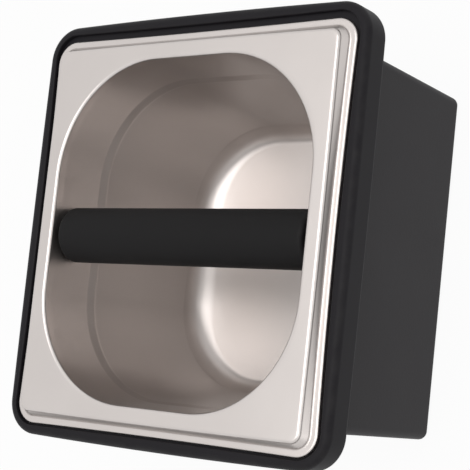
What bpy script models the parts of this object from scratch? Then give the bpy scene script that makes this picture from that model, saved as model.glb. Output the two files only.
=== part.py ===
# Espresso knock box: a drawn steel catch pan, crossed by a rubber knock bar, that drops into a
# sheet-steel housing through a soft rubber rim. Metres, +Z up out of the mouth, +X along the bar.
# The origin is on the bench, under the middle of the housing.

import math
from collections import namedtuple

import bmesh
import bpy
from mathutils import Matrix

# Gaps shared by all pieces
SEAT_GAP = 0.0003           # between faces that touch
CUT_OVERRUN = 0.002         # how far a cutter runs past what it cuts

# Catch pan: a drawn pan with the rim of a sixth-size gastronorm pan
PAN_X = 0.162               # rim, along the bar
PAN_Y = 0.176               # rim, across the bar
PAN_DEPTH = 0.090           # from the rim's outer band down to the floor
PAN_SHEET = 0.0008
RIM_CORNER = 0.010
RIM_BOW_X = -0.0012         # the long edges draw in at mid-length, as drawn sheet does
RIM_BOW_Y = -0.0004
RIM_WIDTH = 0.0125          # from the rim's edge to the pan's wall
RIM_RISE = 0.0046           # the plateau stands this far above the outer band
HEM_DROP = 0.0018
HEM_ROUND = 0.0010
BAND_WIDTH = 0.0040
GROOVE_ROUND = 0.0006
STEP_LEAN = 0.0014
STEP_BOW = 0.0003           # the plateau's sides swell at mid-length
CREST_ROUND = 0.0013
MOUTH_CORNER = 0.050
LIP_ROUND = 0.0030
WALL_LEAN = 0.0022          # taper of the wall above the stacking shoulder
SHOULDER_DEPTH = 0.0210     # from the band down to where the shoulder starts
SHOULDER_STEP = 0.0016
SHOULDER_DROP = 0.0037
LOWER_LEAN = 0.0096         # taper of the wall below the shoulder
FLOOR_ROUND = 0.0106
PAN_REST_SHIFT = 0.0011     # the pan lies against the near side of its seat, as in the photograph

# Knock bar and what holds it between the pan's walls
BAR_DROP = 0.0090           # from the band down to the bar's axis
BAR_OFFSET = 0.0008         # the bar sits this far to the near side of the pan's middle
SLEEVE_RADIUS = 0.0125
SLEEVE_END_ROUND = 0.0020
CORE_RADIUS = 0.0070
SEAL_RADIUS = 0.0065        # inside the sleeve, on the core's end
SEAL_THICK = 0.0008         # at its thin side
WASHER_RADIUS = 0.0055
WASHER_THICK = 0.0010       # at its thin side
BAR_SCREW_RADIUS = 0.0025
BAR_SCREW_LENGTH = 0.0140
BAR_HEAD_RADIUS = 0.0047
BAR_HEAD_HEIGHT = 0.0024
BAR_HEAD_ROUND = 0.0012
BAR_SOCKET_RADIUS = 0.0017
BAR_SOCKET_DEPTH = 0.0014
BAR_TAP_DEPTH = 0.0130
SCREW_POINT = 0.0004        # chamfer at every screw's end

# Housing: one folded and welded sheet-steel box with a flange round its mouth
HOUSING_SHEET = 0.0010
HOUSING_EDGE = 0.0040       # radius of the upright edges
HOUSING_FOLD = 0.0030       # radius of the fold round the floor
FLANGE_FOLD = 0.0014
HEAD_ROOM = 0.0014          # between the bar's screw heads and the housing's wall
PAN_ROOM = 0.0014           # between the pan's wall and the housing, across the bar
FLOOR_ROOM = 0.0090         # under the pan's floor

# Rubber rim that grips the flange and seats the pan
RECESS_PLAY_X = 0.0014      # round the pan's rim
RECESS_PLAY_Y = 0.0020
LAND_WIDTH = 0.0041         # face of the rubber, outside the recess
FACE_RISE = 0.0004          # the face stands this far above the pan's outer band
LEDGE_THICK = 0.0035        # rubber between the pan's hem and the flange
LIP_THICK = 0.0062          # rubber under the flange
FLANGE_COVER = 0.0038       # rubber outside the flange's edge
RUBBER_CORNER = 0.0150
RUBBER_BOW_X = 0.0003       # the outer sides swell at mid-length
RUBBER_BOW_Y = 0.0007
RUBBER_ROUND = 0.0030
RUBBER_BACK_ROUND = 0.0015
RECESS_ROUND = 0.0006
OPENING_CORNER = 0.010

# Screwed rubber feet
FOOT_INSET = 0.0163         # from the housing's sides to a foot's axis
FOOT_RADIUS = 0.0090
FOOT_TOP_RADIUS = 0.0082
FOOT_HEIGHT = 0.0040
FOOT_TOE = 0.0006           # chamfer where the foot meets the bench
FOOT_POCKET_RADIUS = 0.0033
FOOT_POCKET_DEPTH = 0.0024
FOOT_SCREW_RADIUS = 0.0015
FOOT_SCREW_LENGTH = 0.0072
FOOT_HEAD_RADIUS = 0.0028
FOOT_HEAD_HEIGHT = 0.0018
FOOT_HEAD_ROUND = 0.0007
FOOT_SOCKET_RADIUS = 0.0012
FOOT_SOCKET_DEPTH = 0.0010
NUT_RADIUS = 0.0032         # over the corners
NUT_HEIGHT = 0.0024

# How finely the forms are divided
CORNER_STEPS = 8
SIDE_STEPS = 4
ROUND_STEPS = 4
FLOOR_STEPS = 6
BAR_STEPS = 32
SMALL_STEPS = 20
MERGE = 0.000001

# Heights that follow from the sizes above
housing_floor_z = FOOT_HEIGHT + SEAT_GAP
band_z = housing_floor_z + HOUSING_SHEET + FLOOR_ROOM + PAN_SHEET + PAN_DEPTH
ledge_z = band_z - HEM_DROP - SEAT_GAP
face_z = band_z + FACE_RISE
groove_top_z = ledge_z - LEDGE_THICK
flange_z = groove_top_z - SEAT_GAP
groove_bottom_z = flange_z - HOUSING_SHEET - SEAT_GAP
rubber_back_z = groove_bottom_z - LIP_THICK

# A level of a lofted form: a rounded rectangle with half sizes, at a height
Level = namedtuple("Level", "x y corner bow_x bow_y z")


def inset(level, by, z, bows=None):
    bow_x, bow_y = bows or (level.bow_x, level.bow_y)
    return Level(level.x - by, level.y - by, level.corner - by, bow_x, bow_y, z)


def blend(start, end, across, up):
    """The level that lies shares across and up of the way from start to end."""
    mixed = [a + (b - a) * across for a, b in zip(start[:5], end[:5])]
    return Level(*mixed, start.z + (end.z - start.z) * up)


def round_to_flat(start, end, steps=ROUND_STEPS):
    """A quarter round that leaves start upright and meets end lying flat."""
    angles = [math.pi / 2 * i / steps for i in range(steps + 1)]
    return [blend(start, end, 1 - math.cos(a), math.sin(a)) for a in angles]


def round_to_upright(start, end, steps=ROUND_STEPS):
    """A quarter round that leaves start lying flat and meets end upright."""
    angles = [math.pi / 2 * i / steps for i in range(steps + 1)]
    return [blend(start, end, math.sin(a), 1 - math.cos(a)) for a in angles]


def soft_step(start, end, steps):
    """An S-shaped step, upright at both ends."""
    shares = [i / steps for i in range(steps + 1)]
    return [blend(start, end, (1 - math.cos(math.pi * s)) / 2, s) for s in shares]


def outline(level):
    """Points round a rounded rectangle whose sides bow out at mid-length."""
    run_x = level.x - level.corner
    run_y = level.y - level.corner
    points = []
    for quarter in range(4):
        turn = math.pi / 2 * quarter
        centre_x = run_x * (1 if quarter in (0, 3) else -1)
        centre_y = run_y * (1 if quarter in (0, 1) else -1)
        for i in range(CORNER_STEPS + 1):
            angle = turn + math.pi / 2 * i / CORNER_STEPS
            out_x, out_y = level.corner * math.cos(angle), level.corner * math.sin(angle)
            points.append((centre_x + out_x, centre_y + out_y))
        # The side that follows this corner runs along X after the first and third
        for i in range(1, SIDE_STEPS):
            along = 1 - 2 * i / SIDE_STEPS
            out_x = level.x + level.bow_x * (1 - along * along)
            out_y = level.y + level.bow_y * (1 - along * along)
            if quarter == 0:
                points.append((run_x * along, out_y))
            elif quarter == 1:
                points.append((-out_x, run_y * along))
            elif quarter == 2:
                points.append((-run_x * along, -out_y))
            else:
                points.append((out_x, -run_y * along))
    return [(x, y, level.z) for x, y in points]


def add_object(name, mesh, material, parent=None, smooth_angle=35):
    mesh.shade_smooth()
    mesh.set_sharp_from_angle(angle=math.radians(smooth_angle))
    obj = bpy.data.objects.new(name, mesh)
    mesh.materials.append(material)
    parts.objects.link(obj)
    obj.parent = parent
    return obj


def loft(name, levels, closed_section=False, cap_last=False):
    """A skin over unlike rounded rectangles, level by level. It faces up where the levels shrink."""
    bm = bmesh.new()
    rings = [[bm.verts.new(point) for point in outline(level)] for level in levels]
    following = rings[1:] + rings[:1] if closed_section else rings[1:]
    for ring, after in zip(rings, following):
        for i in range(len(ring)):
            j = (i + 1) % len(ring)
            bm.faces.new((ring[i], ring[j], after[j], after[i]))
    if cap_last:
        bm.faces.new(rings[-1])
    mesh = bpy.data.meshes.new(name)
    bm.to_mesh(mesh)
    bm.free()
    return mesh


def turned_mesh(name, profile, closed_profile=False):
    """The profile of a turned piece in its XZ plane, outer side running down."""
    count = len(profile)
    edges = [(i, i + 1) for i in range(count - 1)]
    if closed_profile:
        edges.append((count - 1, 0))
    mesh = bpy.data.meshes.new(name)
    mesh.from_pydata([(x, 0, z) for x, z in profile], edges, [])
    return mesh


def add_screw(obj, steps):
    screw = obj.modifiers.new("Turn", "SCREW")
    screw.axis = "Z"
    screw.angle = 2 * math.pi
    screw.steps = steps
    screw.render_steps = steps
    screw.use_merge_vertices = True
    screw.merge_threshold = MERGE
    screw.use_smooth_shade = True


def add_solidify(obj, thickness, offset):
    shell = obj.modifiers.new("Sheet", "SOLIDIFY")
    shell.thickness = thickness
    shell.offset = offset
    shell.use_even_offset = True
    shell.use_quality_normals = True


def add_cut(obj, cutter):
    cut = obj.modifiers.new("Cut " + cutter.name, "BOOLEAN")
    cut.operation = "DIFFERENCE"
    cut.solver = "EXACT"
    cut.object = cutter


def add_cutter(name, posts, sides, parent=None):
    """One cutter of round or six-sided posts. A post is its centre, radius, length and turn."""
    bm = bmesh.new()
    for centre, radius, length, matrix in posts:
        made = bmesh.ops.create_cone(bm, cap_ends=True, segments=sides,
                                     radius1=radius, radius2=radius, depth=length)
        bmesh.ops.rotate(bm, verts=made["verts"], matrix=matrix)
        bmesh.ops.translate(bm, verts=made["verts"], vec=centre)
    mesh = bpy.data.meshes.new(name)
    bm.to_mesh(mesh)
    bm.free()
    cutter = bpy.data.objects.new(name, mesh)
    cutters.objects.link(cutter)
    cutter.parent = parent
    cutter.hide_render = True
    cutter.display_type = "WIRE"
    return cutter


def finish(name, color, roughness, metallic=0.0):
    material = bpy.data.materials.new(name)
    material.use_nodes = True
    shader = material.node_tree.nodes["Principled BSDF"]
    shader.inputs["Base Color"].default_value = (*color, 1)
    shader.inputs["Roughness"].default_value = roughness
    shader.inputs["Metallic"].default_value = metallic
    return material


def quarter_profile(centre_x, centre_z, radius, start_degrees, end_degrees):
    """Points of a turned profile along an arc."""
    angles = [math.radians(start_degrees + (end_degrees - start_degrees) * i / ROUND_STEPS)
              for i in range(ROUND_STEPS + 1)]
    return [(centre_x + radius * math.cos(a), centre_z + radius * math.sin(a)) for a in angles]


def pan_levels():
    """The pan's upper and inner face, from the hem's lower edge to the edge of the flat floor."""
    hem_foot = Level(PAN_X / 2, PAN_Y / 2, RIM_CORNER, RIM_BOW_X, RIM_BOW_Y, -HEM_DROP)
    hem_side = inset(hem_foot, 0, -HEM_ROUND)
    band_edge = inset(hem_foot, HEM_ROUND, 0)
    band_inner = inset(hem_foot, BAND_WIDTH - GROOVE_ROUND, 0, (STEP_BOW, STEP_BOW))
    step_foot = inset(band_inner, GROOVE_ROUND, GROOVE_ROUND)
    step_top = inset(step_foot, STEP_LEAN, RIM_RISE - CREST_ROUND)
    crest = inset(step_top, CREST_ROUND, RIM_RISE)
    wall_top = wall_top_level()
    lip = inset(wall_top, -LIP_ROUND, RIM_RISE)
    shoulder_top = inset(wall_top, WALL_LEAN, -SHOULDER_DEPTH)
    shoulder_foot = inset(shoulder_top, SHOULDER_STEP, -SHOULDER_DEPTH - SHOULDER_DROP)
    floor_start = inset(shoulder_foot, LOWER_LEAN, FLOOR_ROUND - PAN_DEPTH)
    floor_edge = inset(floor_start, FLOOR_ROUND, -PAN_DEPTH)
    return ([hem_foot] + round_to_flat(hem_side, band_edge, 3)
            + round_to_upright(band_inner, step_foot, 2)
            + round_to_flat(step_top, crest)
            + round_to_upright(lip, wall_top)
            + soft_step(shoulder_top, shoulder_foot, 4)
            + round_to_flat(floor_start, floor_edge, FLOOR_STEPS))


def wall_top_level():
    return Level(PAN_X / 2 - RIM_WIDTH, PAN_Y / 2 - RIM_WIDTH, MOUTH_CORNER, 0, 0, RIM_RISE - LIP_ROUND)


def wall_half_x(z):
    """Half the pan's inner width along the bar, at a height above the band."""
    top = wall_top_level()
    share = (top.z - z) / (top.z + SHOULDER_DEPTH)
    return top.x - WALL_LEAN * share


def make_pan(parent, steel):
    pan = add_object("pan", loft("pan", pan_levels(), cap_last=True), steel, parent)
    add_solidify(pan, PAN_SHEET, -1)
    hole_radius = BAR_SCREW_RADIUS + SEAT_GAP
    across = 2 * (wall_half_x(-BAR_DROP) + PAN_SHEET + CUT_OVERRUN)
    post = ((0, -BAR_OFFSET, -BAR_DROP), hole_radius, across, x_turn)
    add_cut(pan, add_cutter("bar_holes", [post], SMALL_STEPS, parent))
    return pan


def make_bar(parent, rubber, steel, zinc):
    seal_outer = wall_half_x(-BAR_DROP - SEAL_RADIUS) - SEAT_GAP
    seal_inner = seal_outer - SEAL_THICK
    half_core = seal_inner - SEAT_GAP
    washer_outer = wall_half_x(WASHER_RADIUS - BAR_DROP) + PAN_SHEET + SEAT_GAP + WASHER_THICK
    head_seat = washer_outer + SEAT_GAP
    bore = BAR_SCREW_RADIUS + SEAT_GAP

    tap_end = half_core - BAR_TAP_DEPTH
    core_profile = [(0, tap_end), (bore, tap_end), (bore, half_core), (CORE_RADIUS, half_core),
                    (CORE_RADIUS, -half_core), (bore, -half_core), (bore, -tap_end), (0, -tap_end)]
    core = add_object("bar_core", turned_mesh("bar_core", core_profile), steel, parent)
    add_screw(core, BAR_STEPS)

    round_x = SLEEVE_RADIUS - SLEEVE_END_ROUND
    half_sleeve = wall_half_x(-BAR_DROP - round_x) - SEAT_GAP
    round_z = half_sleeve - SLEEVE_END_ROUND
    sleeve_bore = CORE_RADIUS + SEAT_GAP
    sleeve_profile = ([(sleeve_bore, half_sleeve)]
                      + quarter_profile(round_x, round_z, SLEEVE_END_ROUND, 90, 0)
                      + quarter_profile(round_x, -round_z, SLEEVE_END_ROUND, 0, -90)
                      + [(sleeve_bore, -half_sleeve)])
    sleeve = add_object("bar_sleeve", turned_mesh("bar_sleeve", sleeve_profile, True), rubber, parent)
    add_screw(sleeve, BAR_STEPS)
    for piece in (core, sleeve):
        piece.location = (0, -BAR_OFFSET, -BAR_DROP)
        piece.rotation_euler.y = math.pi / 2

    screw_mesh = turned_mesh("bar_screw", screw_profile(BAR_HEAD_RADIUS, BAR_HEAD_HEIGHT, BAR_HEAD_ROUND,
                                                        BAR_SCREW_RADIUS, BAR_SCREW_LENGTH))
    for side, sign in (("left", -1), ("right", 1)):
        seal_mesh = taper_ring("bar_seal", sign, bore, SEAL_RADIUS, seal_inner, -SEAT_GAP)
        add_object("bar_seal_" + side, seal_mesh, rubber, parent)
        washer_mesh = taper_ring("bar_washer", sign, bore, WASHER_RADIUS, washer_outer,
                                 PAN_SHEET + SEAT_GAP)
        add_object("bar_washer_" + side, washer_mesh, steel, parent)

        screw = add_object("bar_screw_" + side, screw_mesh.copy(), zinc, parent)
        add_screw(screw, SMALL_STEPS)
        screw.location = (sign * head_seat, -BAR_OFFSET, -BAR_DROP)
        screw.rotation_euler.y = sign * math.pi / 2
        socket_length = BAR_SOCKET_DEPTH + CUT_OVERRUN
        socket_centre = head_seat + BAR_HEAD_HEIGHT - BAR_SOCKET_DEPTH + socket_length / 2
        post = ((sign * socket_centre, -BAR_OFFSET, -BAR_DROP), BAR_SOCKET_RADIUS, socket_length, x_turn)
        add_cut(screw, add_cutter("bar_socket_" + side, [post], 6, parent))


def taper_ring(name, sign, inner, outer, upright_x, wall_gap):
    """A ring round the bar's axis, upright on one face and along the pan's leaning wall on the other."""
    bm = bmesh.new()
    rings = []
    for radius, leans in ((inner, False), (outer, False), (outer, True), (inner, True)):
        ring = []
        for i in range(SMALL_STEPS):
            angle = 2 * math.pi * i / SMALL_STEPS
            y = radius * math.cos(angle) - BAR_OFFSET
            z = radius * math.sin(angle) - BAR_DROP
            x = wall_half_x(z) + wall_gap if leans else upright_x
            ring.append(bm.verts.new((sign * x, y, z)))
        rings.append(ring)
    for ring, after in zip(rings, rings[1:] + rings[:1]):
        for i in range(SMALL_STEPS):
            j = (i + 1) % SMALL_STEPS
            bm.faces.new((ring[i], ring[j], after[j], after[i]))
    bmesh.ops.recalc_face_normals(bm, faces=bm.faces)
    mesh = bpy.data.meshes.new(name)
    bm.to_mesh(mesh)
    bm.free()
    return mesh


def screw_profile(head_radius, head_height, head_round, shank_radius, length):
    """A screw that points down, with its head standing on its origin."""
    crown = quarter_profile(head_radius - head_round, head_height - head_round, head_round, 90, 0)
    return ([(0, head_height)] + crown
            + [(head_radius, 0), (shank_radius, 0), (shank_radius, SCREW_POINT - length),
               (shank_radius - SCREW_POINT, -length), (0, -length)])


def housing_level():
    """The housing's outer faces, just above the fold round its floor."""
    wall_x = wall_half_x(0) + PAN_SHEET
    hardware = SEAT_GAP + WASHER_THICK + SEAT_GAP + BAR_HEAD_HEIGHT + HEAD_ROOM
    half_x = wall_x + hardware + HOUSING_SHEET
    half_y = wall_top_level().y + PAN_SHEET + PAN_ROOM + HOUSING_SHEET
    return Level(half_x, half_y, HOUSING_EDGE, 0, 0, housing_floor_z + HOUSING_FOLD)


def rubber_level():
    """The rubber rim's outer faces, at the foot of its rounded face edge."""
    half_x = PAN_X / 2 + RECESS_PLAY_X + LAND_WIDTH
    half_y = PAN_Y / 2 + RECESS_PLAY_Y + LAND_WIDTH
    return Level(half_x, half_y, RUBBER_CORNER, RUBBER_BOW_X, RUBBER_BOW_Y, face_z - RUBBER_ROUND)


def flange_level():
    return inset(rubber_level(), FLANGE_COVER, flange_z - HOUSING_SHEET, (0, 0))


def foot_places():
    wall = housing_level()
    x = wall.x - FOOT_INSET
    y = wall.y - FOOT_INSET
    return {"front_left": (-x, -y), "front_right": (x, -y), "back_left": (-x, y), "back_right": (x, y)}


def make_housing(painted):
    """The outer face runs in from the flange's edge, down the wall and under the floor."""
    wall = housing_level()
    flange_edge = flange_level()
    flange_root = inset(wall, -FLANGE_FOLD, flange_edge.z)
    wall_top = wall._replace(z=flange_edge.z - FLANGE_FOLD)
    floor_edge = inset(wall, HOUSING_FOLD, housing_floor_z)
    levels = ([flange_edge] + round_to_upright(flange_root, wall_top, 3)
              + round_to_flat(wall, floor_edge, 3))
    housing = add_object("housing", loft("housing", levels, cap_last=True), painted)
    add_solidify(housing, HOUSING_SHEET, 1)
    hole_radius = FOOT_SCREW_RADIUS + SEAT_GAP
    depth = HOUSING_SHEET + 2 * CUT_OVERRUN
    middle = housing_floor_z + HOUSING_SHEET / 2
    posts = [((x, y, middle), hole_radius, depth, no_turn) for x, y in foot_places().values()]
    add_cut(housing, add_cutter("foot_holes", posts, SMALL_STEPS))


def make_rim(rubber):
    """The section runs round from the back, up the outer side, over the face and down the inside."""
    side = rubber_level()
    back = inset(side, RUBBER_BACK_ROUND, rubber_back_z)
    back_side = side._replace(z=rubber_back_z + RUBBER_BACK_ROUND)
    face = inset(side, RUBBER_ROUND, face_z)
    recess = inset(side, LAND_WIDTH, face_z - RECESS_ROUND, (RIM_BOW_X, RIM_BOW_Y))
    recess_edge = inset(recess, -RECESS_ROUND, face_z)
    wall = housing_level()
    opening = Level(wall.x - HOUSING_SHEET + SEAT_GAP, wall.y - HOUSING_SHEET + SEAT_GAP,
                    OPENING_CORNER, 0, 0, ledge_z)
    groove = inset(flange_level(), -SEAT_GAP, groove_top_z)
    grip = inset(wall, -SEAT_GAP, groove_bottom_z)
    levels = (round_to_upright(back, back_side, 2) + round_to_flat(side, face)
              + round_to_upright(recess_edge, recess, 2)
              + [recess._replace(z=ledge_z), opening, opening._replace(z=groove_top_z),
                 groove, groove._replace(z=groove_bottom_z),
                 inset(grip, -FLANGE_FOLD, groove_bottom_z), inset(grip, 0, groove_bottom_z - FLANGE_FOLD),
                 grip._replace(z=rubber_back_z)])
    add_object("rim_frame", loft("rim_frame", levels, closed_section=True), rubber)


def make_feet(rubber, zinc):
    bore = FOOT_SCREW_RADIUS + SEAT_GAP
    foot_profile = [(bore, FOOT_HEIGHT), (FOOT_TOP_RADIUS, FOOT_HEIGHT), (FOOT_RADIUS, FOOT_TOE),
                    (FOOT_RADIUS - FOOT_TOE, 0), (FOOT_POCKET_RADIUS, 0),
                    (FOOT_POCKET_RADIUS, FOOT_POCKET_DEPTH), (bore, FOOT_POCKET_DEPTH)]
    foot_mesh = turned_mesh("foot", foot_profile, True)
    screw_mesh = turned_mesh("foot_screw", screw_profile(FOOT_HEAD_RADIUS, FOOT_HEAD_HEIGHT, FOOT_HEAD_ROUND,
                                                         FOOT_SCREW_RADIUS, FOOT_SCREW_LENGTH))
    head_seat = FOOT_POCKET_DEPTH - SEAT_GAP
    socket_length = FOOT_SOCKET_DEPTH + CUT_OVERRUN
    socket_z = head_seat - FOOT_HEAD_HEIGHT + FOOT_SOCKET_DEPTH - socket_length / 2
    nut_z = housing_floor_z + HOUSING_SHEET + SEAT_GAP
    for place, (x, y) in foot_places().items():
        foot = add_object("foot_" + place, foot_mesh.copy(), rubber)
        foot.location = (x, y, 0)
        add_screw(foot, SMALL_STEPS)

        screw = add_object("foot_screw_" + place, screw_mesh.copy(), zinc)
        screw.location = (x, y, head_seat)
        screw.rotation_euler.x = math.pi
        add_screw(screw, SMALL_STEPS)
        post = ((x, y, socket_z), FOOT_SOCKET_RADIUS, socket_length, no_turn)
        add_cut(screw, add_cutter("foot_socket_" + place, [post], 6))

        nut = add_object("foot_nut_" + place, nut_mesh(), zinc)
        nut.location = (x, y, nut_z)
        post = ((x, y, nut_z + NUT_HEIGHT / 2), bore, NUT_HEIGHT + CUT_OVERRUN, no_turn)
        add_cut(nut, add_cutter("nut_bore_" + place, [post], SMALL_STEPS))


def nut_mesh():
    """A six-sided nut that stands on its origin."""
    bm = bmesh.new()
    bmesh.ops.create_cone(bm, cap_ends=True, segments=6, radius1=NUT_RADIUS, radius2=NUT_RADIUS,
                          depth=NUT_HEIGHT)
    bmesh.ops.translate(bm, verts=bm.verts, vec=(0, 0, NUT_HEIGHT / 2))
    mesh = bpy.data.meshes.new("foot_nut")
    bm.to_mesh(mesh)
    bm.free()
    return mesh


for leftover in list(bpy.data.objects):
    bpy.data.objects.remove(leftover)
parts = bpy.data.collections.new("knock_box")
cutters = bpy.data.collections.new("cutters")
for collection in (parts, cutters):
    bpy.context.scene.collection.children.link(collection)

no_turn = Matrix.Identity(3)
x_turn = Matrix.Rotation(math.pi / 2, 3, "Y")

satin_steel = finish("satin_steel", (0.62, 0.60, 0.58), 0.28, 1.0)
bar_steel = finish("bar_steel", (0.58, 0.57, 0.56), 0.35, 1.0)
zinc_plate = finish("zinc_plate", (0.55, 0.56, 0.58), 0.4, 1.0)
bar_rubber = finish("bar_rubber", (0.022, 0.021, 0.022), 0.62)
rim_rubber = finish("rim_rubber", (0.028, 0.027, 0.029), 0.5)
powder_coat = finish("powder_coat", (0.045, 0.043, 0.046), 0.55)

# The pan and its bar lift out together, so they hang from one empty on the band's plane
pan_lift = bpy.data.objects.new("pan_lift", None)
parts.objects.link(pan_lift)
pan_lift.location = (0, -PAN_REST_SHIFT, band_z)

make_housing(powder_coat)
make_rim(rim_rubber)
make_pan(pan_lift, satin_steel)
make_bar(pan_lift, bar_rubber, bar_steel, zinc_plate)
make_feet(rim_rubber, zinc_plate)
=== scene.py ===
# Espresso knock box, dressed for a studio picture: a drawn steel pan with a rubber knock bar,
# hung in a rubber rim on a powder-coated box. Metres, Z up, origin on the bench under the box.

import math

import bmesh
import bpy
import numpy as np
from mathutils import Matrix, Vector


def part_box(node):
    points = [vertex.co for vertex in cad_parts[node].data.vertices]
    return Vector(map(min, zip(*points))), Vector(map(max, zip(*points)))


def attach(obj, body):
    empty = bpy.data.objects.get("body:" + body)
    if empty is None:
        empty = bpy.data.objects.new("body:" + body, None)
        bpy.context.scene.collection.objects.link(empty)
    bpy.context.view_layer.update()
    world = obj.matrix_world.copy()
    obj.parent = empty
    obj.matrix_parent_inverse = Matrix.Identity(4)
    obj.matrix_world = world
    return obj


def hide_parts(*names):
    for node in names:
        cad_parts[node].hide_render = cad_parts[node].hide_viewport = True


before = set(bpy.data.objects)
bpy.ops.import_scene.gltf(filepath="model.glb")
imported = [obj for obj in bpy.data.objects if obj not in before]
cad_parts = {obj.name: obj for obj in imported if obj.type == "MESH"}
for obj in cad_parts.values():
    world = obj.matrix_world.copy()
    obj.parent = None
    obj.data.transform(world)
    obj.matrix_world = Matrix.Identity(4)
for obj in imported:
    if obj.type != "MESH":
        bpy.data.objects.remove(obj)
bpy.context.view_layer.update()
scene = bpy.context.scene

# How finely curved forms are divided
fineness = {
    "corner": 24, "side": 16, "round": 8, "turn": 96, "smallTurn": 48, "ringEdge": 3, "headEdge": 8,
    "footEdge": 5, "sleeveEdge": 14, "sleeveRows": 10, "pitchRows": 8}
supportGap = 0.0004  # a row of points this far from each round keeps the flats flat
supportsFrom = 3  # a straight stretch of fewer such gaps gets no support rows
mergeDistance = 0.000001
sharpAngle = 38  # degrees
postLength = 0.01  # length of a cutter through one sheet, and the spare length of a longer one


# Stacked outlines. A row is: half width, half length, corner radius, bow along X, bow along Y,
# height, and how much of an edge it is from 0 to 1.
def outlineRow(halfX, halfY, corner, z, bows=(0, 0)):
    return np.array([halfX, halfY, corner, *bows, z, 0.0])


def movedIn(start, by, z, bows=None):
    # The same outline drawn in by one distance all round
    made = start.copy()
    made[:3] -= by
    made[3:5] = start[3:5] if bows is None else bows
    made[5:] = z, 0
    return made


def rowsBetween(start, end, across, up, edge=0):
    # The outline goes by the shares across and the height by the shares up
    rows = start + np.outer(across, end - start)
    rows[:, 5] = start[5] + (end[5] - start[5]) * up
    rows[:, 6] = edge * np.sin(math.pi * np.linspace(0, 1, len(across)))
    return rows


def roundToFlat(start, end, steps, edge=0):
    # Quarter round: across = 1 - cos, up = sin, so it leaves upright and arrives flat
    angle = np.linspace(0, math.pi / 2, steps + 1)
    return rowsBetween(start, end, 1 - np.cos(angle), np.sin(angle), edge)


def roundToUpright(start, end, steps, edge=0):
    # Quarter round: across = sin, up = 1 - cos, so it leaves flat and arrives upright
    angle = np.linspace(0, math.pi / 2, steps + 1)
    return rowsBetween(start, end, np.sin(angle), 1 - np.cos(angle), edge)


def softStep(start, end, steps, rounding, edge=0):
    # Step of one slope with a parabola at each end, each a given share of the height:
    # across = (first^2 / 2r + middle + last - last^2 / 2r) / (1 - r), up runs evenly
    share = np.linspace(0, 1, steps + 1)
    first, last = np.minimum(share, rounding), np.maximum(share + rounding - 1, 0)
    bent = (first**2 - last**2) / (2 * rounding)
    return rowsBetween(start, end, (share - first + bent) / (1 - rounding), share, edge)


def supportRows(start, end):
    # Rows close to both ends of a straight stretch
    length = math.hypot(end[0] - start[0], end[5] - start[5])
    share = np.array([1, length / supportGap - 1]) * supportGap / length
    return rowsBetween(start, end, share, share)


def stackOf(*pieces):
    # Joins rows and blocks of rows, with support rows on every straight stretch long enough
    rows = [np.atleast_2d(pieces[0])]
    for piece in pieces[1:]:
        piece = np.atleast_2d(piece)
        start, end = rows[-1][-1], piece[0]
        if math.hypot(end[0] - start[0], end[5] - start[5]) > supportsFrom * supportGap:
            rows.append(supportRows(start, end))
        rows.append(piece)
    return np.concatenate(rows)


def outlineShares():
    # For each point round the outline: its share of the half run, the corner radius and the bow,
    # for X and for Y. The bow's share is 1 - along squared. A quarter turn gives the next quarter.
    turn = np.linspace(0, math.pi / 2, fineness["corner"] + 1)
    along = np.cos(np.linspace(0, math.pi, fineness["side"] + 1))[1:-1]
    flat, zero, one = 0 * along, 0 * turn, 0 * turn + 1
    sharesX = np.array([[*one, *along], [*np.cos(turn), *flat], [*zero, *flat]])
    sharesY = np.array([[*one, *flat + 1], [*np.sin(turn), *flat + 1], [*zero, *1 - along**2]])
    return (np.hstack([sharesX, -sharesY, -sharesX, sharesY]),
            np.hstack([sharesY, sharesX, -sharesY, -sharesX]))


def loftGrid(rows):
    # Point (row, place) = run * share + corner radius * share + bow * share, at the row's height
    sharesX, sharesY = outlineShares()
    x = np.stack([rows[:, 0] - rows[:, 2], rows[:, 2], rows[:, 3]], axis=1) @ sharesX
    y = np.stack([rows[:, 1] - rows[:, 2], rows[:, 2], rows[:, 4]], axis=1) @ sharesY
    z = np.repeat(rows[:, 5:6], x.shape[1], axis=1)
    return np.stack([x, y, z], axis=-1)


turnedAxes = {"up": [[1, 0, 0], [0, 1, 0], [0, 0, 1]], "down": [[1, 0, 0], [0, -1, 0], [0, 0, -1]],
              "right": [[0, 0, 1], [0, 1, 0], [-1, 0, 0]], "left": [[0, 0, -1], [0, 1, 0], [1, 0, 0]]}


def turnedGrid(profile, axis, place, steps, thread=(1, 0)):
    # A profile row is radius, height, how six-sided it is and how threaded it is.
    # radius(angle) = radius * (1 + hex * (cos 30 / cos(angle within its side) - 1))
    #                 - thread depth * triangle wave(height / pitch - turn)
    radius, height, hexagon, threaded = (column[:, None] for column in np.array(profile, float).T)
    angle = np.linspace(0, 2 * math.pi, steps, endpoint=False)[None, :]
    side = math.pi / 3
    flats = math.cos(side / 2) / np.cos(np.mod(angle, side) - side / 2)
    pitch, depth = thread
    wave = np.abs(np.mod(height / pitch - angle / (2 * math.pi), 1) * 2 - 1)
    r = radius * (1 + hexagon * (flats - 1)) - threaded * depth * wave
    local = np.stack([r * np.cos(angle), r * np.sin(angle), height + 0 * angle], axis=-1)
    return local @ np.array(turnedAxes[axis]).T + np.array(place)


def arcProfile(centreR, centreZ, radius, startDegrees, endDegrees, steps):
    # Part of a circle, as profile rows
    angle = np.radians(np.linspace(startDegrees, endDegrees, steps + 1))
    plain = 0 * angle
    r, z = centreR + radius * np.cos(angle), centreZ + radius * np.sin(angle)
    return np.stack([r, z, plain, plain], axis=1)


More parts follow.
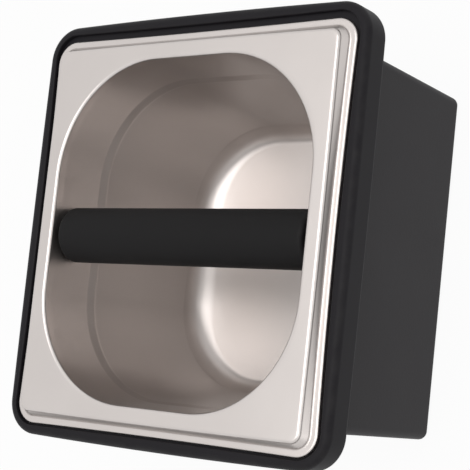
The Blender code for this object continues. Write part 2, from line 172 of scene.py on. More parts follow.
def meshFromGrid(name, grid, flip=False, closedRows=False, cap=False, **marks):
    # Quads between neighbouring rows and places; doubles are merged, which closes poles and seams.
    # A mark is one value for each row, kept as an attribute that the finishes read.
    rows, places = grid.shape[:2]
    index = np.arange(rows * places).reshape(rows, places)
    nextRow = np.roll(index, -1, axis=0)
    upper, lower = (index, nextRow) if closedRows else (index[:-1], nextRow[:-1])
    quads = np.stack([upper, np.roll(upper, -1, 1), np.roll(lower, -1, 1), lower], axis=-1).reshape(-1, 4)
    faces = (quads[:, ::-1] if flip else quads).tolist()
    if cap:
        faces.append(index[-1].tolist())
    mesh = bpy.data.meshes.new(name)
    mesh.from_pydata(grid.reshape(-1, 3), [], faces)
    for label, values in marks.items():
        mesh.attributes.new(label, "FLOAT", "POINT").data.foreach_set("value", np.repeat(values, places))
    bm = bmesh.new()
    bm.from_mesh(mesh)
    bmesh.ops.remove_doubles(bm, verts=bm.verts, dist=mergeDistance)
    bm.to_mesh(mesh)
    bm.free()
    return mesh


def addPiece(name, mesh, body, material, replaced, modifiers=()):
    # Settles the modifiers into the mesh, then hangs the piece on its body's empty and hides the parts it
    # replaces
    piece = bpy.data.objects.new(name, mesh)
    scene.collection.objects.link(piece)
    for kind, values in modifiers:
        modifier = piece.modifiers.new(kind.title(), kind)
        for key, value in values.items():
            setattr(modifier, key, value)
    if modifiers:
        bpy.context.view_layer.update()
        graph = bpy.context.evaluated_depsgraph_get()
        settled = bpy.data.meshes.new_from_object(piece.evaluated_get(graph))
        piece.modifiers.clear()
        piece.data = settled
    piece.data.materials.clear()
    piece.data.materials.append(material)
    piece.data.shade_smooth()
    piece.data.set_sharp_from_angle(angle=math.radians(sharpAngle))
    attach(piece, body)
    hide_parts(*replaced)


def cutterFor(name, posts):
    # One object of round posts: centre, radius, length, axis
    bm = bmesh.new()
    for centre, radius, length, axis in posts:
        half = length / 2
        profile = [(0, half, 0, 0), (radius, half, 0, 0), (radius, -half, 0, 0), (0, -half, 0, 0)]
        post = meshFromGrid(name, turnedGrid(profile, axis, centre, fineness["smallTurn"]), flip=True)
        bm.from_mesh(post)
    mesh = bpy.data.meshes.new(name)
    bm.to_mesh(mesh)
    bm.free()
    cutter = bpy.data.objects.new(name, mesh)
    scene.collection.objects.link(cutter)
    return cutter


def sheetModifiers(thickness, offset, cutter):
    # Gives a surface its thickness, then cuts the holes
    return [("SOLIDIFY", {"thickness": thickness, "offset": offset, "use_even_offset": True,
                          "use_quality_normals": True}),
            ("BOOLEAN", {"operation": "DIFFERENCE", "solver": "EXACT", "object": cutter})]


# Shader building
def addNode(tree, kind, **values):
    node = tree.nodes.new(kind)
    for key, value in values.items():
        setattr(node, key, value)
    return node


def wire(tree, source, target):
    tree.links.new(source, target)


def addMath(tree, operation, first, second, third=None):
    # Sockets are linked, numbers are set
    node = addNode(tree, "ShaderNodeMath", operation=operation)
    for place, value in enumerate((first, second, third)):
        if isinstance(value, (int, float)):
            node.inputs[place].default_value = value
        elif value is not None:
            wire(tree, value, node.inputs[place])
    return node.outputs[0]


def newGroup(name, inputs, outputs):
    tree = bpy.data.node_groups.new(name, "ShaderNodeTree")
    for label, kind in inputs.items():
        tree.interface.new_socket(label, in_out="INPUT", socket_type=kind)
    for label in outputs:
        tree.interface.new_socket(label, in_out="OUTPUT", socket_type="NodeSocketFloat")
    return tree, addNode(tree, "NodeGroupInput"), addNode(tree, "NodeGroupOutput")


# Detail of the shared noises, and how hard they break the wear into patches
noiseSettings = {
    "grainDetail": 3, "blotchDetail": 4, "roughness": 0.6, "wearDetail": 5, "lineDetail": 2,
    "patchGain": 3.0, "patchShift": -1.0, "patchBlend": 0.2}


def makeGrainGroup():
    # Fine grain and broad blotches, each a noise of a given real size, both about 0 to 1
    s = noiseSettings
    tree, given, result = newGroup(
        "grainAndBlotches",
        {"Place": "NodeSocketVector", "Grain Size": "NodeSocketFloat", "Blotch Size": "NodeSocketFloat"},
        ["Grain", "Blotch"])
    for label, detail in (("Grain", s["grainDetail"]), ("Blotch", s["blotchDetail"])):
        noise = addNode(tree, "ShaderNodeTexNoise")
        noise.inputs["Detail"].default_value = detail
        noise.inputs["Roughness"].default_value = s["roughness"]
        size = given.outputs[label + " Size"]
        wire(tree, given.outputs["Place"], noise.inputs["Vector"])
        wire(tree, addMath(tree, "DIVIDE", 1.0, size), noise.inputs["Scale"])
        wire(tree, noise.outputs["Fac"], result.inputs[label])
    return tree


def makeWearGroup():
    # Wear along edges: the piece's edge attribute, broken up by patches of noise
    s = noiseSettings
    tree, given, result = newGroup(
        "edgeWear",
        {"Place": "NodeSocketVector", "Patch Size": "NodeSocketFloat", "Amount": "NodeSocketFloat"},
        ["Wear"])
    edge = addNode(tree, "ShaderNodeAttribute", attribute_name="edge")
    noise = addNode(tree, "ShaderNodeTexNoise")
    noise.inputs["Detail"].default_value = s["wearDetail"]
    wire(tree, given.outputs["Place"], noise.inputs["Vector"])
    wire(tree, addMath(tree, "DIVIDE", 1.0, given.outputs["Patch Size"]), noise.inputs["Scale"])
    patches = addMath(tree, "MULTIPLY_ADD", noise.outputs["Fac"], s["patchGain"], s["patchShift"])
    patches = addMath(tree, "SMOOTH_MAX", patches, 0.0, s["patchBlend"])
    worn = addMath(tree, "MULTIPLY", patches, edge.outputs["Fac"])
    wire(tree, addMath(tree, "MULTIPLY", worn, given.outputs["Amount"]), result.inputs["Wear"])
    return tree


def makeLineGroup():
    # Fine parallel lines: noise on coordinates that are drawn out along one direction
    tree, given, result = newGroup(
        "drawnLines",
        {"Place": "NodeSocketVector", "Squeeze": "NodeSocketVector"},
        ["Lines"])
    product = addNode(tree, "ShaderNodeVectorMath", operation="MULTIPLY")
    wire(tree, given.outputs["Place"], product.inputs[0])
    wire(tree, given.outputs["Squeeze"], product.inputs[1])
    noise = addNode(tree, "ShaderNodeTexNoise")
    noise.inputs["Scale"].default_value = 1
    noise.inputs["Detail"].default_value = noiseSettings["lineDetail"]
    wire(tree, product.outputs[0], noise.inputs["Vector"])
    wire(tree, noise.outputs["Fac"], result.inputs["Lines"])
    return tree


grainGroup = makeGrainGroup()
wearGroup = makeWearGroup()
lineGroup = makeLineGroup()
print("shared shader groups made")


def placeGroup(tree, group, place, **values):
    node = addNode(tree, "ShaderNodeGroup", node_tree=group)
    wire(tree, place, node.inputs["Place"])
    for key, value in values.items():
        node.inputs[key.replace("_", " ")].default_value = value
    return node


def makeFinish(name, look):
    # Colour and roughness go from their first to their second value with the blotches, grain and
    # drawn lines raise the surface, and worn edges take the worn colour and roughness
    material = bpy.data.materials.new(name)
    material.use_nodes = True
    tree = material.node_tree
    shader = tree.nodes["Principled BSDF"]
    shader.inputs["Metallic"].default_value = look["metallic"]
    shader.inputs["Specular IOR Level"].default_value = look["specular"]
    place = addNode(tree, "ShaderNodeTexCoord").outputs["Object"]
    grain = placeGroup(tree, grainGroup, place, Grain_Size=look["grainSize"],
                       Blotch_Size=look["blotchSize"])
    lines = placeGroup(tree, lineGroup, place, Squeeze=look["squeeze"])
    wear = placeGroup(tree, wearGroup, place, Patch_Size=look["patchSize"], Amount=look["wear"])

    mixes = []
    for first, second, factor in ((look["colour"], look["blotchColour"], grain.outputs["Blotch"]),
                                  (None, look["wornColour"], wear.outputs["Wear"])):
        mix = addNode(tree, "ShaderNodeMix", data_type="RGBA")
        wire(tree, factor, mix.inputs["Factor"])
        if first is None:
            wire(tree, mixes[-1].outputs["Result"], mix.inputs["A"])
        else:
            mix.inputs["A"].default_value = (*first, 1)
        mix.inputs["B"].default_value = (*second, 1)
        mixes.append(mix)
    wire(tree, mixes[-1].outputs["Result"], shader.inputs["Base Color"])

    low, high = look["roughness"]
    varied = addMath(tree, "MULTIPLY_ADD", grain.outputs["Blotch"], high - low, low)
    lined = addMath(tree, "MULTIPLY_ADD", lines.outputs["Lines"], look["lineRoughness"], varied)
    worn = addMath(tree, "MULTIPLY_ADD", wear.outputs["Wear"], look["wornRoughness"] - low, lined)
    if "wellRoughness" in look:
        well = addNode(tree, "ShaderNodeAttribute", attribute_name="well")
        worn = addMath(tree, "MULTIPLY_ADD", well.outputs["Fac"], look["wellRoughness"], worn)
    wire(tree, worn, shader.inputs["Roughness"])

    relief = addMath(tree, "MULTIPLY_ADD", lines.outputs["Lines"], look["lineHeight"],
                     addMath(tree, "MULTIPLY", grain.outputs["Grain"], 1 - look["lineHeight"]))
    bump = addNode(tree, "ShaderNodeBump")
    bump.inputs["Strength"].default_value = look["bump"]
    bump.inputs["Distance"].default_value = look["bumpDepth"]
    wire(tree, relief, bump.inputs["Height"])
    wire(tree, bump.outputs["Normal"], shader.inputs["Normal"])
    return material


satinSteel = makeFinish("satinSteel", {
    "colour": (0.565, 0.525, 0.505), "blotchColour": (0.61, 0.57, 0.55), "wornColour": (0.66, 0.63, 0.61),
    "metallic": 1.0, "specular": 0.5, "roughness": (0.28, 0.36), "wornRoughness": 0.22,
    "lineRoughness": 0.02, "wellRoughness": 0.05,
    "grainSize": 0.0004, "blotchSize": 0.05, "patchSize": 0.008, "squeeze": (900, 900, 40),
    "wear": 0.5, "lineHeight": 0.5, "bump": 0.05, "bumpDepth": 0.0001})
turnedSteel = makeFinish("turnedSteel", {
    "colour": (0.52, 0.51, 0.50), "blotchColour": (0.58, 0.57, 0.56), "wornColour": (0.68, 0.67, 0.66),
    "metallic": 1.0, "specular": 0.5, "roughness": (0.28, 0.38), "wornRoughness": 0.22,
    "lineRoughness": 0.06,
    "grainSize": 0.0003, "blotchSize": 0.006, "patchSize": 0.003, "squeeze": (6000, 200, 200),
    "wear": 0.6, "lineHeight": 0.7, "bump": 0.12, "bumpDepth": 0.00008})
zincPlate = makeFinish("zincPlate", {
    "colour": (0.50, 0.51, 0.53), "blotchColour": (0.60, 0.60, 0.59), "wornColour": (0.68, 0.67, 0.65),
    "metallic": 1.0, "specular": 0.5, "roughness": (0.30, 0.46), "wornRoughness": 0.25,
    "lineRoughness": 0.05,
    "grainSize": 0.0003, "blotchSize": 0.0025, "patchSize": 0.002, "squeeze": (3000, 3000, 3000),
    "wear": 0.6, "lineHeight": 0.3, "bump": 0.15, "bumpDepth": 0.00008})
barRubber = makeFinish("barRubber", {
    "colour": (0.0090, 0.0087, 0.0092), "blotchColour": (0.0130, 0.0125, 0.0130),
    "wornColour": (0.024, 0.023, 0.023), "metallic": 0.0, "specular": 0.13,
    "roughness": (0.56, 0.66), "wornRoughness": 0.48, "lineRoughness": 0.02,
    "grainSize": 0.0005, "blotchSize": 0.012, "patchSize": 0.005, "squeeze": (300, 2500, 2500),
    "wear": 0.5, "lineHeight": 0.2, "bump": 0.25, "bumpDepth": 0.0001})
rimRubber = makeFinish("rimRubber", {
    "colour": (0.0120, 0.0110, 0.0132), "blotchColour": (0.0164, 0.0151, 0.0178),
    "wornColour": (0.030, 0.029, 0.030), "metallic": 0.0, "specular": 0.13,
    "roughness": (0.46, 0.58), "wornRoughness": 0.40, "lineRoughness": 0.02,
    "grainSize": 0.0005, "blotchSize": 0.02, "patchSize": 0.006, "squeeze": (1500, 1500, 1500),
    "wear": 0.5, "lineHeight": 0.2, "bump": 0.22, "bumpDepth": 0.0001})
powderCoat = makeFinish("powderCoat", {
    "colour": (0.0213, 0.0198, 0.0220), "blotchColour": (0.0281, 0.0263, 0.0289),
    "wornColour": (0.045, 0.043, 0.044), "metallic": 0.0, "specular": 0.2,
    "roughness": (0.48, 0.60), "wornRoughness": 0.40, "lineRoughness": 0.02,
    "grainSize": 0.0011, "blotchSize": 0.04, "patchSize": 0.006, "squeeze": (500, 500, 500),
    "wear": 0.5, "lineHeight": 0.3, "bump": 0.30, "bumpDepth": 0.0002})
print("finishes made")


# Catch pan: one drawn sheet, from the hem's lower edge over the rim, down the wall to the floor
panSettings = {
    "sheet": 0.0008, "depth": 0.090, "rimCorner": 0.010, "rimBows": (-0.0012, -0.0004),
    "rimWidth": 0.0125, "rimRise": 0.0046, "hemDrop": 0.0018, "hemRound": 0.0010,
    "bandWidth": 0.0034, "grooveRound": 0.0006, "stepLean": 0.0020, "footBows": (-0.0008, -0.0002),
    "crestBows": (0.0003, 0.0003), "crestRound": 0.0013, "mouthCorner": 0.050, "lipRound": 0.0030,
    "lipDrawn": 0.0014, "wallLean": 0.0022, "shoulderDepth": 0.0210, "shoulderStep": 0.0013,
    "shoulderDrop": 0.0052, "shoulderRound": 0.2, "lowerLean": 0.0115, "endLean": 0.0076,
    "floorRound": 0.0106, "floorReach": 0.0130, "endReach": 0.0084, "floorCorner": 0.029,
    "floorDish": 0.0012, "dishPower": 5, "floorRings": 24, "wallRows": 14, "satinFrom": 0.015,
    "hemWear": 1, "crestWear": 1, "lipWear": 0.7, "shoulderWear": 0.3}
panLow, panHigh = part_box("pan")
panHalf = (panHigh - panLow) / 2
panMiddle = (panHigh + panLow) / 2
bandZ = panHigh.z - panSettings["rimRise"]


def mouthRow():
    # The mouth, where the lip's round ends and the wall begins; heights are above the band
    s = panSettings
    return outlineRow(panHalf.x - s["rimWidth"], panHalf.y - s["rimWidth"], s["mouthCorner"],
                      s["rimRise"] - s["lipRound"])


def wallHalf(z):
    # Half the pan's inner width at a height above the band: the mouth's, less the wall's lean
    s = panSettings
    top = mouthRow()
    return top[0] - s["wallLean"] * (top[5] - z) / (top[5] + s["shoulderDepth"])


def panRows():
    # The pan's section, from the hem's foot over the rim and down to the middle of the floor
    s = panSettings
    steps = fineness["round"]
    foot = outlineRow(panHalf.x, panHalf.y, s["rimCorner"], -s["hemDrop"], s["rimBows"])
    hemSide = movedIn(foot, 0, -s["hemRound"])
    bandEdge = movedIn(foot, s["hemRound"], 0)
    bandInner = movedIn(foot, s["bandWidth"] - s["grooveRound"], 0, s["footBows"])
    stepFoot = movedIn(bandInner, s["grooveRound"], s["grooveRound"])
    stepTop = movedIn(stepFoot, s["stepLean"], s["rimRise"] - s["crestRound"], s["crestBows"])
    crest = movedIn(stepTop, s["crestRound"], s["rimRise"])
    mouth = mouthRow()
    lipFoot = movedIn(mouth, 0, s["rimRise"] - s["lipDrawn"])
    lip = movedIn(lipFoot, -s["lipDrawn"], s["rimRise"])
    shoulderTop = movedIn(mouth, s["wallLean"], -s["shoulderDepth"])
    shoulderFoot = movedIn(shoulderTop, s["shoulderStep"], -s["shoulderDepth"] - s["shoulderDrop"])
    dishEdge = s["floorDish"] - s["depth"]
    floorStart = movedIn(shoulderFoot, s["lowerLean"], s["floorRound"] + dishEdge)
    floorStart[1:3] = shoulderFoot[1] - s["endLean"], s["floorCorner"] + s["floorReach"]
    floorEdge = movedIn(floorStart, s["floorReach"], dishEdge)
    floorEdge[1] = floorStart[1] - s["endReach"]
    # Close rows keep the faces round the bar's holes small
    down = np.linspace(0, 1, s["wallRows"] + 2)[1:-1]
    # The floor is a shallow dish, and the round above it stops at the slope where the dish begins
    slope = s["dishPower"] * s["floorDish"] / floorEdge[:2].mean()
    angle = np.linspace(0, math.atan(s["floorRound"] / s["floorReach"] / slope), 3 * steps)
    floorRound = rowsBetween(floorStart, floorEdge, 1 - np.cos(angle), np.sin(angle))
    share = 1 - (np.arange(1, s["floorRings"] + 1) / s["floorRings"])
    floor = np.outer(share, floorRound[-1])
    floor[:, 5] = (floorRound[-1, 5] + s["depth"]) * share ** s["dishPower"] - s["depth"]
    return stackOf(foot, roundToFlat(hemSide, bandEdge, steps, s["hemWear"]),
                   roundToUpright(bandInner, stepFoot, steps // 2),
                   roundToFlat(stepTop, crest, steps, s["crestWear"]),
                   roundToUpright(lip, lipFoot, steps + 2, s["lipWear"]),
                   rowsBetween(mouth, shoulderTop, down, down),
                   softStep(shoulderTop, shoulderFoot, 2 * steps, s["shoulderRound"], s["shoulderWear"]),
                   floorRound, floor)


# Knock bar: a rubber sleeve on a steel core, screwed through the pan's walls
barSettings = {
    "drop": 0.0090, "offset": 0.0008, "gap": 0.0003, "sleeveRadius": 0.0125, "endRound": 0.0020,
    "coreRadius": 0.0070, "sealRadius": 0.0065, "sealThick": 0.0008, "washerRadius": 0.0055,
    "washerThick": 0.0010, "edgeRound": 0.0002, "screwRadius": 0.0025, "screwLength": 0.0140,
    "headRadius": 0.0047, "headHeight": 0.0024, "headRound": 0.0012, "socketRadius": 0.0017,
    "socketDepth": 0.0014, "tapDepth": 0.0130, "threadPitch": 0.0008, "threadDepth": 0.0003}
barCentre = Vector((panMiddle.x, panMiddle.y - barSettings["offset"], bandZ - barSettings["drop"]))

# A screw's socket, as shares of the socket's radius, and where its thread starts, in pitches
screwShares = {"socketCone": 0.2, "socketMouth": 1.15, "threadStart": 1.5}


def boreOf(s):
    # Radius of the hole round a screw
    return s["screwRadius"] + s["gap"]


def ringProfile(bore, radius, thick, rounding):
    # A flat ring standing on zero, with rounded edges
    low, high, steps = rounding, thick - rounding, fineness["ringEdge"]
    return np.concatenate([arcProfile(bore + rounding, high, rounding, 180, 90, steps),
                           arcProfile(radius - rounding, high, rounding, 90, 0, steps),
                           arcProfile(radius - rounding, low, rounding, 0, -90, steps),
                           arcProfile(bore + rounding, low, rounding, -90, -180, steps)])


def leaningX(grid, thick, sign, inner, outer):
    # x = inner + (outer - inner) * share, where the share is how far out the point is in the flat ring
    share = np.abs(grid[..., 0] - panMiddle.x) / thick
    return panMiddle.x + sign * (inner + (outer - inner) * share)


def screwProfile(s):
    # Head with a six-sided socket, standing on zero, and a threaded shank below it
    shares = screwShares
    top, radius, socket = s["headHeight"], s["screwRadius"], s["socketRadius"]
    pitch, depth, tip = s["threadPitch"], s["threadDepth"], -s["screwLength"]
    floorZ = top - s["socketDepth"]
    head = [(0, floorZ - shares["socketCone"] * socket, 0, 0), (socket, floorZ, 1, 0), (socket, top, 1, 0),
            (shares["socketMouth"] * socket, top, 0, 0)]
    crown = arcProfile(s["headRadius"] - s["headRound"], top - s["headRound"], s["headRound"], 90, 0,
                       fineness["headEdge"])
    seat = [(s["headRadius"], 0, 0, 0), (radius, 0, 0, 0), (radius, -pitch, 0, 0)]
    end = pitch / 2 + tip
    turns = np.arange(-shares["threadStart"] * pitch, end, -pitch / fineness["pitchRows"])
    shank = np.stack([0 * turns + radius, turns, 0 * turns, 0 * turns + 1], axis=1)
    point = [(radius - depth, end, 0, 0), (radius - 2 * depth, tip, 0, 0), (0, tip, 0, 0)]
    return np.concatenate([head, crown, seat, shank, point])


def makePan():
    rows = panRows()
    grid = loftGrid(rows) + np.array([panMiddle.x, panMiddle.y, bandZ])
    well = np.clip(-rows[:, 5] / panSettings["satinFrom"], 0, 1)
    mesh = meshFromGrid("panMesh", grid, edge=rows[:, 6], well=well)
    reach = 2 * wallHalf(0) + postLength
    cutter = cutterFor("barHoles", [(barCentre, boreOf(barSettings), reach, "right")])
    addPiece("catchPan", mesh, "pan", satinSteel, ["pan"],
             sheetModifiers(panSettings["sheet"], -1, cutter))
    bpy.data.objects.remove(cutter)
    print("catch pan made")


def sealInner():
    # How far the seals' inner faces are from the bar's middle
    s = barSettings
    return wallHalf(-s["drop"] - s["sealRadius"]) - s["gap"] - s["sealThick"]


def makeSleeve():
    s = barSettings
    rounding = s["endRound"]
    radius = s["sleeveRadius"] - rounding
    half = wallHalf(-s["drop"] - radius) - s["gap"]
    end = half - rounding
    bore = s["coreRadius"] + s["gap"]
    lengthwise = np.linspace(end, -end, fineness["sleeveRows"] + 2)[1:-1]
    plain = 0 * lengthwise
    body = np.stack([plain + s["sleeveRadius"], lengthwise, plain, plain], axis=1)
    steps = fineness["sleeveEdge"]
    upper = arcProfile(radius, end, rounding, 90, 0, steps)
    lower = arcProfile(radius, -end, rounding, 0, -90, steps)
    inside = [(bore, -half, 0, 0), (bore, half, 0, 0)]
    sleeve = np.concatenate([upper, body, lower, inside])
    edge = np.sin(np.linspace(0, math.pi, steps + 1))
    edges = np.concatenate([edge, plain, edge, [0, 0]])
    grid = turnedGrid(sleeve, "right", barCentre, fineness["turn"])
    mesh = meshFromGrid("sleeveMesh", grid, flip=True, closedRows=True, edge=edges)
    addPiece("knockSleeve", mesh, "pan", barRubber, ["bar_sleeve"])
    print("bar's sleeve made")


def makeCore():
    # A rod with a tapped hole and small chamfers at each end
    s = barSettings
    half = sealInner() - s["gap"]
    tap = half - s["tapDepth"]
    bore, radius, chamfer = boreOf(s), s["coreRadius"], s["edgeRound"]
    core = [(0, tap, 0, 0), (bore, tap, 0, 0), (bore, half - chamfer, 0, 0), (bore + chamfer, half, 0, 0),
            (radius - chamfer, half, 0, 0), (radius, half - chamfer, 0, 0)]
    mirrored = [(r, -z, *rest) for r, z, *rest in reversed(core)]
    grid = turnedGrid(core + mirrored, "right", barCentre, fineness["turn"])
    mesh = meshFromGrid("coreMesh", grid, flip=True)
    addPiece("knockCore", mesh, "pan", turnedSteel, ["bar_core"])
    print("bar's core made")


def makeBarFixings():
    # A seal inside the wall, a washer outside it and a screw at each end. Seals and washers are
    # wedges, so that they lie flat on the leaning wall.
    s = barSettings
    bore, steps = boreOf(s), fineness["smallTurn"]
    wallOuter = panSettings["sheet"] + s["gap"]
    washerOuter = wallHalf(s["washerRadius"] - s["drop"]) + wallOuter + s["washerThick"]
    headSeat = washerOuter + s["gap"]
    thread = (s["threadPitch"], s["threadDepth"])
    sealProfile = ringProfile(bore, s["sealRadius"], s["sealThick"], s["edgeRound"])
    washerProfile = ringProfile(bore, s["washerRadius"], s["washerThick"], s["edgeRound"])
    for side, sign, axis in (("Left", -1, "left"), ("Right", 1, "right")):
        seal = turnedGrid(sealProfile, axis, barCentre, steps)
        washer = turnedGrid(washerProfile, axis, barCentre, steps)
        seat = barCentre + Vector((sign * headSeat, 0, 0))
        screw = turnedGrid(screwProfile(s), axis, seat, steps, thread)
        wall = wallHalf(seal[..., 2] - bandZ) - s["gap"]
        seal[..., 0] = leaningX(seal, s["sealThick"], sign, sealInner(), wall)
        wall = wallHalf(washer[..., 2] - bandZ) + wallOuter
        washer[..., 0] = leaningX(washer, s["washerThick"], sign, wall, washerOuter)
        parts = (("barSeal", seal, "bar_rubber", barRubber, True),
                 ("barWasher", washer, "bar_steel", turnedSteel, True),
                 ("barScrew", screw, "zinc_plate", zincPlate, False))
        for label, grid, slot, material, closed in parts:
            mesh = meshFromGrid(label + side + "Mesh", grid, flip=True, closedRows=closed)
            node = "bar_" + label[3:].lower() + "_" + side.lower()
            addPiece(label + side, mesh, "pan", material, [node])
    print("bar's seals, washers and screws made")


# Rubber rim: one moulding that grips the housing's flange and seats the pan
rimSettings = {
    "land": 0.0041, "corner": 0.0150, "bows": (0.0003, 0.0007), "round": 0.0030, "backRound": 0.0015,
    "recessRound": 0.0006, "openingCorner": 0.010, "ledge": 0.0035, "gap": 0.0003, "cover": 0.0038,
    "backWear": 0.5, "faceWear": 1, "recessWear": 0.8}
rimLow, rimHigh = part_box("rim_frame")

# Housing: folded sheet with a flange round its mouth
housingSettings = {
    "sheet": 0.0010, "edge": 0.0040, "fold": 0.0030, "flangeFold": 0.0014, "endLean": 0.0008,
    "headRoom": 0.0014, "panRoom": 0.0014, "foldWear": 0.8}
housingLow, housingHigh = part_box("housing")


def wallRow():
    # The housing's outer faces: the pan's wall, the bar's fixings and room for them, and the sheet
    s, b, h = panSettings, barSettings, housingSettings
    fixings = 2 * b["gap"] + b["washerThick"] + b["headHeight"]
    halfX = wallHalf(0) + s["sheet"] + fixings + h["headRoom"] + h["sheet"]
    halfY = mouthRow()[1] + s["sheet"] + h["panRoom"] + h["sheet"]
    return outlineRow(halfX, halfY, h["edge"], housingLow.z + h["fold"])


def rimRow():
    # The rubber's outer face, bowed out a little on all four sides
    s = rimSettings
    return outlineRow(rimHigh.x - s["bows"][0], rimHigh.y - s["bows"][1], s["corner"],
                      rimHigh.z - s["round"], s["bows"])


def flangeRow():
    # The flange's outer edge, inside the rubber
    return movedIn(rimRow(), rimSettings["cover"], housingHigh.z - housingSettings["sheet"], (0, 0))


def makeHousing():
    h = housingSettings
    steps = fineness["round"]
    wall = wallRow()
    flange = flangeRow()
    root = movedIn(wall, -h["flangeFold"], flange[5])
    wallTop = movedIn(wall, 0, flange[5] - h["flangeFold"])
    # The two end walls lean in a little towards the floor
    wall[1] -= h["endLean"]
    floorEdge = movedIn(wall, h["fold"], housingLow.z)
    rows = stackOf(flange, roundToUpright(root, wallTop, steps),
                   roundToFlat(wall, floorEdge, steps, h["foldWear"]))
    mesh = meshFromGrid("housingMesh", loftGrid(rows), cap=True, edge=rows[:, 6])
    posts = [((x, y, housingLow.z), boreOf(footSettings), postLength, "up")
             for x, y in footPlaces().values()]
    cutter = cutterFor("footHoles", posts)
    addPiece("sheetHousing", mesh, "housing", powderCoat, ["housing"],
             sheetModifiers(h["sheet"], 1, cutter))
    bpy.data.objects.remove(cutter)
    print("housing made")


def makeRim():
    s, h = rimSettings, housingSettings
    steps = fineness["round"]
    side = rimRow()
    wall = wallRow()
    ledgeZ = bandZ - panSettings["hemDrop"] - s["gap"]
    grooveTop = ledgeZ - s["ledge"]
    grooveFoot = grooveTop - 2 * s["gap"] - h["sheet"]
    back = movedIn(side, s["backRound"], rimLow.z)
    backSide = movedIn(side, 0, rimLow.z + s["backRound"])
    face = movedIn(side, s["round"], rimHigh.z)
    recess = movedIn(side, s["land"], rimHigh.z - s["recessRound"], panSettings["rimBows"])
    recessEdge = movedIn(recess, -s["recessRound"], rimHigh.z)
    opening = outlineRow(wall[0] - h["sheet"] + s["gap"], wall[1] - h["sheet"] + s["gap"],
                         s["openingCorner"], ledgeZ)
    groove = movedIn(flangeRow(), -s["gap"], grooveTop)
    grip = movedIn(wall, -s["gap"], grooveFoot)
    rows = stackOf(roundToUpright(back, backSide, steps // 2, s["backWear"]),
                   roundToFlat(side, face, steps + 4, s["faceWear"]),
                   roundToUpright(recessEdge, recess, steps // 2, s["recessWear"]),
                   movedIn(recess, 0, ledgeZ), opening, movedIn(opening, 0, grooveTop),
                   groove, movedIn(groove, 0, grooveFoot),
                   movedIn(grip, -h["flangeFold"], grooveFoot),
                   movedIn(grip, 0, grooveFoot - h["flangeFold"]), movedIn(grip, 0, rimLow.z))
    mesh = meshFromGrid("rimMesh", loftGrid(rows), closedRows=True, edge=rows[:, 6])
    addPiece("rubberRim", mesh, "housing", rimRubber, ["rim_frame"])
    print("rubber rim made")


# Feet: rubber pads, each held by a screw and a nut inside the housing
footSettings = {
    "inset": 0.0163, "radius": 0.0090, "topRadius": 0.0082, "height": 0.0040, "toe": 0.0006,
    "pocketRadius": 0.0033, "pocketDepth": 0.0024, "gap": 0.0003, "nutRadius": 0.0032,
    "nutHeight": 0.0024, "crownShare": 0.25, "screwRadius": 0.0015, "screwLength": 0.0072,
    "headRadius": 0.0028, "headHeight": 0.0018, "headRound": 0.0007, "socketRadius": 0.0012,
    "socketDepth": 0.0010, "threadPitch": 0.0005, "threadDepth": 0.0002}


def footPlaces():
    # Middles of the feet, one distance in from the housing's outer faces
    wall = wallRow()
    x, y = wall[:2] - footSettings["inset"]
    return {"FrontLeft": (-x, -y), "FrontRight": (x, -y), "BackLeft": (-x, y), "BackRight": (x, y)}


def nutProfile(bore):
    # Six-sided, with its corners turned round at both ends
    s = footSettings
    radius, height = s["nutRadius"], s["nutHeight"]
    flat = radius * math.cos(math.pi / 6)
    crown = s["crownShare"] * (radius - flat)
    return [(bore, height, 0, 0), (flat, height, 0, 0), (radius, height - 2 * crown, 1, 0),
            (radius, 2 * crown, 1, 0), (flat, 0, 0, 0), (bore, 0, 0, 0)]


def makeFeet():
    s = footSettings
    bore = boreOf(s)
    steps, toeRound = fineness["footEdge"], s["toe"]
    toe = arcProfile(s["radius"] - toeRound, toeRound, toeRound, 0, -90, steps)
    brow = arcProfile(s["topRadius"] - toeRound, s["height"] - toeRound, toeRound, 90, 0, steps)
    pocket = [(s["pocketRadius"], 0, 0, 0), (s["pocketRadius"], s["pocketDepth"], 0, 0),
              (bore, s["pocketDepth"], 0, 0)]
    foot = np.concatenate([[(bore, s["height"], 0, 0)], brow, toe, pocket])
    nutZ = housingLow.z + housingSettings["sheet"] + s["gap"]
    headZ = s["pocketDepth"] - s["gap"]
    thread = (s["threadPitch"], s["threadDepth"])
    for label, (x, y) in footPlaces().items():
        node = label.replace("Left", "_left").replace("Right", "_right").lower()
        parts = (("foot", foot, "up", 0, "rim_rubber", rimRubber, True),
                 ("footScrew", screwProfile(s), "down", headZ, "zinc_plate", zincPlate, False),
                 ("footNut", nutProfile(bore), "up", nutZ, "zinc_plate", zincPlate, True))
        for kind, profile, axis, z, slot, material, closed in parts:
            grid = turnedGrid(profile, axis, (x, y, z), fineness["smallTurn"], thread)
            mesh = meshFromGrid(kind + label + "Mesh", grid, flip=True, closedRows=closed)
            replaced = kind.replace("Screw", "_screw").replace("Nut", "_nut") + "_" + node
            addPiece(kind + label, mesh, "housing", material, [replaced])
    print("feet made")


makePan()
makeSleeve()
makeCore()
makeBarFixings()
makeHousing()
makeRim()
makeFeet()

# Studio: pale floor, white surroundings, large soft boxes
studioSettings = {
    "floorSize": 8.0, "floorColour": (0.93, 0.93, 0.93), "floorGlow": 0.95, "skyLevel": 0.32,
    "softboxes": {
        "overhead": {"place": (0.16, 0.05, 1.5), "size": (1.2, 1.2), "level": 0.54,
                     "colour": (1.0, 0.985, 0.97)},
        "side": {"place": (1.4, -0.5, 0.9), "size": (1.2, 1.2), "level": 0.10,
                 "colour": (1.0, 0.99, 0.98)}}}


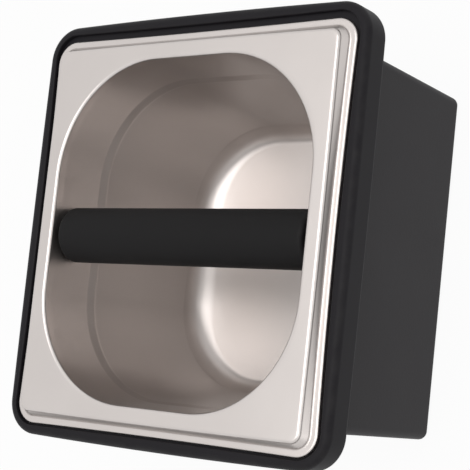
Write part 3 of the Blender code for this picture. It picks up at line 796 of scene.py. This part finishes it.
def addSoftbox(name, s, aim):
    # Its power makes a white matt surface at the aim reach the level: level * (pi * distance) squared
    lamp = bpy.data.lights.new(name, "AREA")
    lamp.shape = "RECTANGLE"
    lamp.size, lamp.size_y = s["size"]
    lamp.color = s["colour"]
    place = Vector(s["place"])
    lamp.energy = s["level"] * (math.pi * (place - aim).length) ** 2
    box = bpy.data.objects.new(name, lamp)
    scene.collection.objects.link(box)
    box.location = place
    box.rotation_euler = (aim - place).to_track_quat("-Z", "Y").to_euler()


def whiteForViewers(tree, lit, white):
    # Camera, glossy and transmission rays see the white shader, and all others the lit one
    path = addNode(tree, "ShaderNodeLightPath")
    seen = addMath(tree, "MAXIMUM", path.outputs["Is Camera Ray"], path.outputs["Is Glossy Ray"])
    seen = addMath(tree, "MAXIMUM", seen, path.outputs["Is Transmission Ray"])
    mix = addNode(tree, "ShaderNodeMixShader")
    wire(tree, seen, mix.inputs[0])
    wire(tree, lit.outputs[0], mix.inputs[1])
    wire(tree, white.outputs[0], mix.inputs[2])
    return mix


def makeStudio():
    s = studioSettings
    half = s["floorSize"] / 2
    mesh = bpy.data.meshes.new("floorMesh")
    corners = [(-half, -half, 0), (half, -half, 0), (half, half, 0), (-half, half, 0)]
    mesh.from_pydata(corners, [], [(0, 1, 2, 3)])
    floor = bpy.data.objects.new("studioFloor", mesh)
    scene.collection.objects.link(floor)
    material = bpy.data.materials.new("studioFloor")
    material.use_nodes = True
    mesh.materials.append(material)
    tree = material.node_tree
    tree.nodes.clear()
    matt = addNode(tree, "ShaderNodeBsdfDiffuse")
    matt.inputs["Color"].default_value = (*s["floorColour"], 1)
    glow = addNode(tree, "ShaderNodeEmission")
    shadowed = addNode(tree, "ShaderNodeMixShader")
    shadowed.inputs[0].default_value = s["floorGlow"]
    wire(tree, matt.outputs[0], shadowed.inputs[1])
    wire(tree, glow.outputs[0], shadowed.inputs[2])
    output = addNode(tree, "ShaderNodeOutputMaterial")
    wire(tree, whiteForViewers(tree, matt, shadowed).outputs[0], output.inputs[0])

    world = bpy.data.worlds.new("studio")
    scene.world = world
    world.use_nodes = True
    tree = world.node_tree
    tree.nodes.clear()
    sky = addNode(tree, "ShaderNodeBackground")
    sky.inputs["Strength"].default_value = s["skyLevel"]
    white = addNode(tree, "ShaderNodeBackground")
    for shader in (sky, white):
        shader.inputs["Color"].default_value = (1, 1, 1, 1)
    output = addNode(tree, "ShaderNodeOutputWorld")
    wire(tree, whiteForViewers(tree, sky, white).outputs[0], output.inputs[0])

    aim = Vector((0, 0, panHigh.z))
    for name, softbox in s["softboxes"].items():
        addSoftbox(name, softbox, aim)
    print("studio made")


# Camera: place, turn and lens worked out from the photograph's lines
cameraSettings = {
    "place": (0.366566, -0.069066, 0.555165), "turn": (0.161997, 0.630665, 0.131814),
    "lens": 105.087, "sensor": 36.0, "shift": (0.02172, 0.10277), "clipStart": 0.01}


def makeCamera():
    s = cameraSettings
    data = bpy.data.cameras.new("camera")
    data.sensor_width = s["sensor"]
    data.lens = s["lens"]
    data.shift_x, data.shift_y = s["shift"]
    data.clip_start = s["clipStart"]
    camera = bpy.data.objects.new("camera", data)
    scene.collection.objects.link(camera)
    camera.location = s["place"]
    camera.rotation_euler = s["turn"]
    scene.camera = camera
    scene.view_settings.view_transform = "Standard"
    print("camera made")


makeStudio()
makeCamera()
